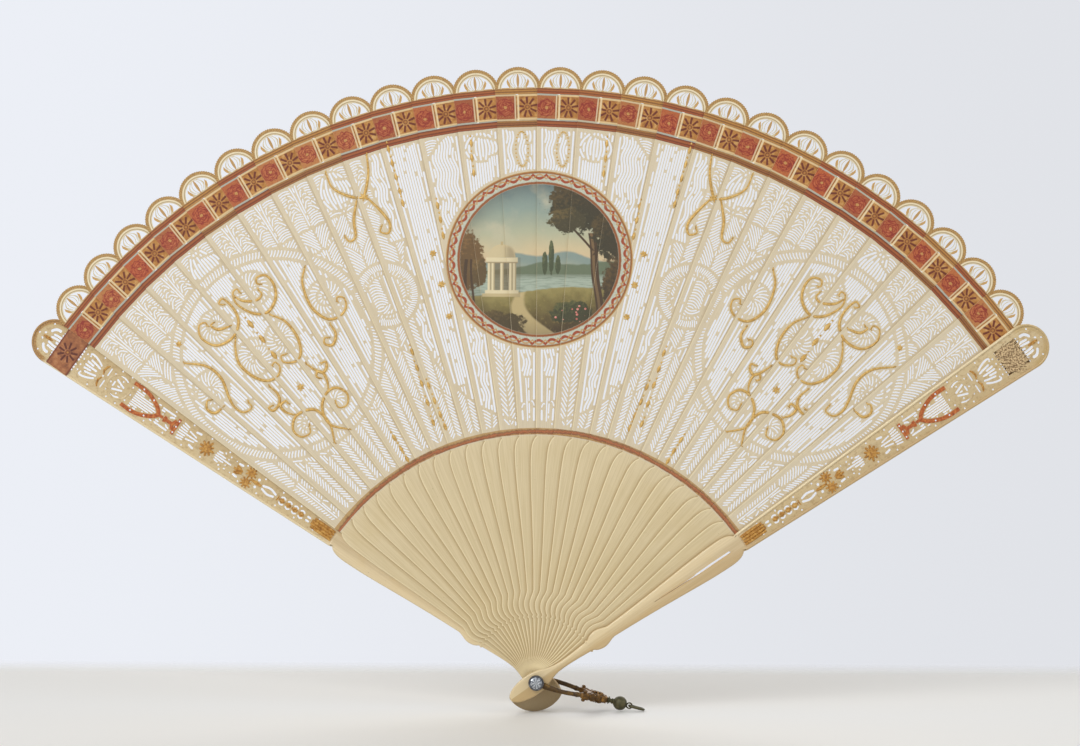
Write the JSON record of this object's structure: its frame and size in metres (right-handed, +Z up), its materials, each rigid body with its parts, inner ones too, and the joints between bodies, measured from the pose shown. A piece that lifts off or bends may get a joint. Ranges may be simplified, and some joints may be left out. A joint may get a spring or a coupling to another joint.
{
  "type": "folding fan",
  "caption": "Pierced rigid-stick folding fan threaded with a ribbon, turning on a jewelled rivet with a swinging bail, ball finial and small ring.",
  "frame": {"origin": "on the rivet's axis, halfway through the stack of blades", "axes": "+Z up through the middle of the open fan, +X to the right and -Y towards the viewer of its front; the rivet runs along Y"},
  "size_m": [0.411, 0.0228, 0.2603],
  "materials": {
    "ivory": "satin carved ivory",
    "guard_ivory": "polished carved ivory, a little yellower than the sticks",
    "silk": "woven silk ribbon, printed tan and brown",
    "steel": "darkened steel",
    "paste": "foiled clear paste",
    "gilt": "worn gilding on brass",
    "bronze": "dark olive patina"
  },
  "bodies": {
    "rear_guard": {"rear_guard": "guard_ivory", "ribbon": "silk", "pivot_pin": "steel", "rear_collet": "steel", "rear_stone": "paste", "front_collet": "steel", "front_stone": "paste"},
    "stick_01": {"stick_01": "ivory"},
    "stick_02": {"stick_02": "ivory"},
    "stick_03": {"stick_03": "ivory"},
    "stick_04": {"stick_04": "ivory"},
    "stick_05": {"stick_05": "ivory"},
    "stick_06": {"stick_06": "ivory"},
    "stick_07": {"stick_07": "ivory"},
    "stick_08": {"stick_08": "ivory"},
    "stick_09": {"stick_09": "ivory"},
    "stick_10": {"stick_10": "ivory"},
    "stick_11": {"stick_11": "ivory"},
    "stick_12": {"stick_12": "ivory"},
    "stick_13": {"stick_13": "ivory"},
    "stick_14": {"stick_14": "ivory"},
    "stick_15": {"stick_15": "ivory"},
    "stick_16": {"stick_16": "ivory"},
    "stick_17": {"stick_17": "ivory"},
    "stick_18": {"stick_18": "ivory"},
    "stick_19": {"stick_19": "ivory"},
    "stick_20": {"stick_20": "ivory"},
    "stick_21": {"stick_21": "ivory"},
    "stick_22": {"stick_22": "ivory"},
    "stick_23": {"stick_23": "ivory"},
    "stick_24": {"stick_24": "ivory"},
    "stick_25": {"stick_25": "ivory"},
    "stick_26": {"stick_26": "ivory"},
    "front_guard": {"front_guard": "guard_ivory"},
    "bail": {"bail_arm_rear": "gilt", "bail_arm_front": "gilt", "bail_crown": "gilt", "finial": "bronze"},
    "tassel_ring": {"tassel_ring": "bronze"}
  },
  "joints": [
    {"name": "fan_opening", "type": "hinge", "parent": "rear_guard", "child": "front_guard", "pos_m": [0, 0, 0], "axis": [0, -1, 0], "range_deg": [0, 110.7], "deforming": ["ribbon"]},
    {"name": "stick_01_turn", "type": "hinge", "parent": "rear_guard", "child": "stick_01", "pos_m": [0, 0, 0], "axis": [0, -1, 0], "range_deg": [0, 4.11]},
    {"name": "stick_02_turn", "type": "hinge", "parent": "rear_guard", "child": "stick_02", "pos_m": [0, 0, 0], "axis": [0, -1, 0], "range_deg": [0, 8.21]},
    {"name": "stick_03_turn", "type": "hinge", "parent": "rear_guard", "child": "stick_03", "pos_m": [0, 0, 0], "axis": [0, -1, 0], "range_deg": [0, 12.31]},
    {"name": "stick_04_turn", "type": "hinge", "parent": "rear_guard", "child": "stick_04", "pos_m": [0, 0, 0], "axis": [0, -1, 0], "range_deg": [0, 16.41]},
    {"name": "stick_05_turn", "type": "hinge", "parent": "rear_guard", "child": "stick_05", "pos_m": [0, 0, 0], "axis": [0, -1, 0], "range_deg": [0, 20.51]},
    {"name": "stick_06_turn", "type": "hinge", "parent": "rear_guard", "child": "stick_06", "pos_m": [0, 0, 0], "axis": [0, -1, 0], "range_deg": [0, 24.61]},
    {"name": "stick_07_turn", "type": "hinge", "parent": "rear_guard", "child": "stick_07", "pos_m": [0, 0, 0], "axis": [0, -1, 0], "range_deg": [0, 28.71]},
    {"name": "stick_08_turn", "type": "hinge", "parent": "rear_guard", "child": "stick_08", "pos_m": [0, 0, 0], "axis": [0, -1, 0], "range_deg": [0, 32.81]},
    {"name": "stick_09_turn", "type": "hinge", "parent": "rear_guard", "child": "stick_09", "pos_m": [0, 0, 0], "axis": [0, -1, 0], "range_deg": [0, 36.91]},
    {"name": "stick_10_turn", "type": "hinge", "parent": "rear_guard", "child": "stick_10", "pos_m": [0, 0, 0], "axis": [0, -1, 0], "range_deg": [0, 41.01]},
    {"name": "stick_11_turn", "type": "hinge", "parent": "rear_guard", "child": "stick_11", "pos_m": [0, 0, 0], "axis": [0, -1, 0], "range_deg": [0, 45.11]},
    {"name": "stick_12_turn", "type": "hinge", "parent": "rear_guard", "child": "stick_12", "pos_m": [0, 0, 0], "axis": [0, -1, 0], "range_deg": [0, 49.21]},
    {"name": "stick_13_turn", "type": "hinge", "parent": "rear_guard", "child": "stick_13", "pos_m": [0, 0, 0], "axis": [0, -1, 0], "range_deg": [0, 53.31]},
    {"name": "stick_14_turn", "type": "hinge", "parent": "rear_guard", "child": "stick_14", "pos_m": [0, 0, 0], "axis": [0, -1, 0], "range_deg": [0, 57.41]},
    {"name": "stick_15_turn", "type": "hinge", "parent": "rear_guard", "child": "stick_15", "pos_m": [0, 0, 0], "axis": [0, -1, 0], "range_deg": [0, 61.51]},
    {"name": "stick_16_turn", "type": "hinge", "parent": "rear_guard", "child": "stick_16", "pos_m": [0, 0, 0], "axis": [0, -1, 0], "range_deg": [0, 65.61]},
    {"name": "stick_17_turn", "type": "hinge", "parent": "rear_guard", "child": "stick_17", "pos_m": [0, 0, 0], "axis": [0, -1, 0], "range_deg": [0, 69.71]},
    {"name": "stick_18_turn", "type": "hinge", "parent": "rear_guard", "child": "stick_18", "pos_m": [0, 0, 0], "axis": [0, -1, 0], "range_deg": [0, 73.81]},
    {"name": "stick_19_turn", "type": "hinge", "parent": "rear_guard", "child": "stick_19", "pos_m": [0, 0, 0], "axis": [0, -1, 0], "range_deg": [0, 77.91]},
    {"name": "stick_20_turn", "type": "hinge", "parent": "rear_guard", "child": "stick_20", "pos_m": [0, 0, 0], "axis": [0, -1, 0], "range_deg": [0, 82.01]},
    {"name": "stick_21_turn", "type": "hinge", "parent": "rear_guard", "child": "stick_21", "pos_m": [0, 0, 0], "axis": [0, -1, 0], "range_deg": [0, 86.11]},
    {"name": "stick_22_turn", "type": "hinge", "parent": "rear_guard", "child": "stick_22", "pos_m": [0, 0, 0], "axis": [0, -1, 0], "range_deg": [0, 90.21]},
    {"name": "stick_23_turn", "type": "hinge", "parent": "rear_guard", "child": "stick_23", "pos_m": [0, 0, 0], "axis": [0, -1, 0], "range_deg": [0, 94.31]},
    {"name": "stick_24_turn", "type": "hinge", "parent": "rear_guard", "child": "stick_24", "pos_m": [0, 0, 0], "axis": [0, -1, 0], "range_deg": [0, 98.41]},
    {"name": "stick_25_turn", "type": "hinge", "parent": "rear_guard", "child": "stick_25", "pos_m": [0, 0, 0], "axis": [0, -1, 0], "range_deg": [0, 102.51]},
    {"name": "stick_26_turn", "type": "hinge", "parent": "rear_guard", "child": "stick_26", "pos_m": [0, 0, 0], "axis": [0, -1, 0], "range_deg": [0, 106.61]},
    {"name": "bail_swing", "type": "hinge", "parent": "rear_guard", "child": "bail", "pos_m": [0, 0, 0], "axis": [0, -1, 0], "range_deg": [-182, 32]},
    {"name": "ring_swing", "type": "hinge", "parent": "bail", "child": "tassel_ring", "pos_m": [0.03779, 0, -0.01013], "axis": [0, -1, 0], "range_deg": [-125, 125]}
  ],
  "couplings": [
    {"joint": "stick_01_turn", "follows": "fan_opening", "ratio": 0.037037},
    {"joint": "stick_02_turn", "follows": "fan_opening", "ratio": 0.074074},
    {"joint": "stick_03_turn", "follows": "fan_opening", "ratio": 0.11111},
    {"joint": "stick_04_turn", "follows": "fan_opening", "ratio": 0.14815},
    {"joint": "stick_05_turn", "follows": "fan_opening", "ratio": 0.18518},
    {"joint": "stick_06_turn", "follows": "fan_opening", "ratio": 0.22222},
    {"joint": "stick_07_turn", "follows": "fan_opening", "ratio": 0.25926},
    {"joint": "stick_08_turn", "follows": "fan_opening", "ratio": 0.2963},
    {"joint": "stick_09_turn", "follows": "fan_opening", "ratio": 0.33333},
    {"joint": "stick_10_turn", "follows": "fan_opening", "ratio": 0.37037},
    {"joint": "stick_11_turn", "follows": "fan_opening", "ratio": 0.40741},
    {"joint": "stick_12_turn", "follows": "fan_opening", "ratio": 0.44444},
    {"joint": "stick_13_turn", "follows": "fan_opening", "ratio": 0.48148},
    {"joint": "stick_14_turn", "follows": "fan_opening", "ratio": 0.51852},
    {"joint": "stick_15_turn", "follows": "fan_opening", "ratio": 0.55556},
    {"joint": "stick_16_turn", "follows": "fan_opening", "ratio": 0.59259},
    {"joint": "stick_17_turn", "follows": "fan_opening", "ratio": 0.62963},
    {"joint": "stick_18_turn", "follows": "fan_opening", "ratio": 0.66667},
    {"joint": "stick_19_turn", "follows": "fan_opening", "ratio": 0.7037},
    {"joint": "stick_20_turn", "follows": "fan_opening", "ratio": 0.74074},
    {"joint": "stick_21_turn", "follows": "fan_opening", "ratio": 0.77778},
    {"joint": "stick_22_turn", "follows": "fan_opening", "ratio": 0.81481},
    {"joint": "stick_23_turn", "follows": "fan_opening", "ratio": 0.85185},
    {"joint": "stick_24_turn", "follows": "fan_opening", "ratio": 0.88889},
    {"joint": "stick_25_turn", "follows": "fan_opening", "ratio": 0.92593},
    {"joint": "stick_26_turn", "follows": "fan_opening", "ratio": 0.96296}
  ]
}
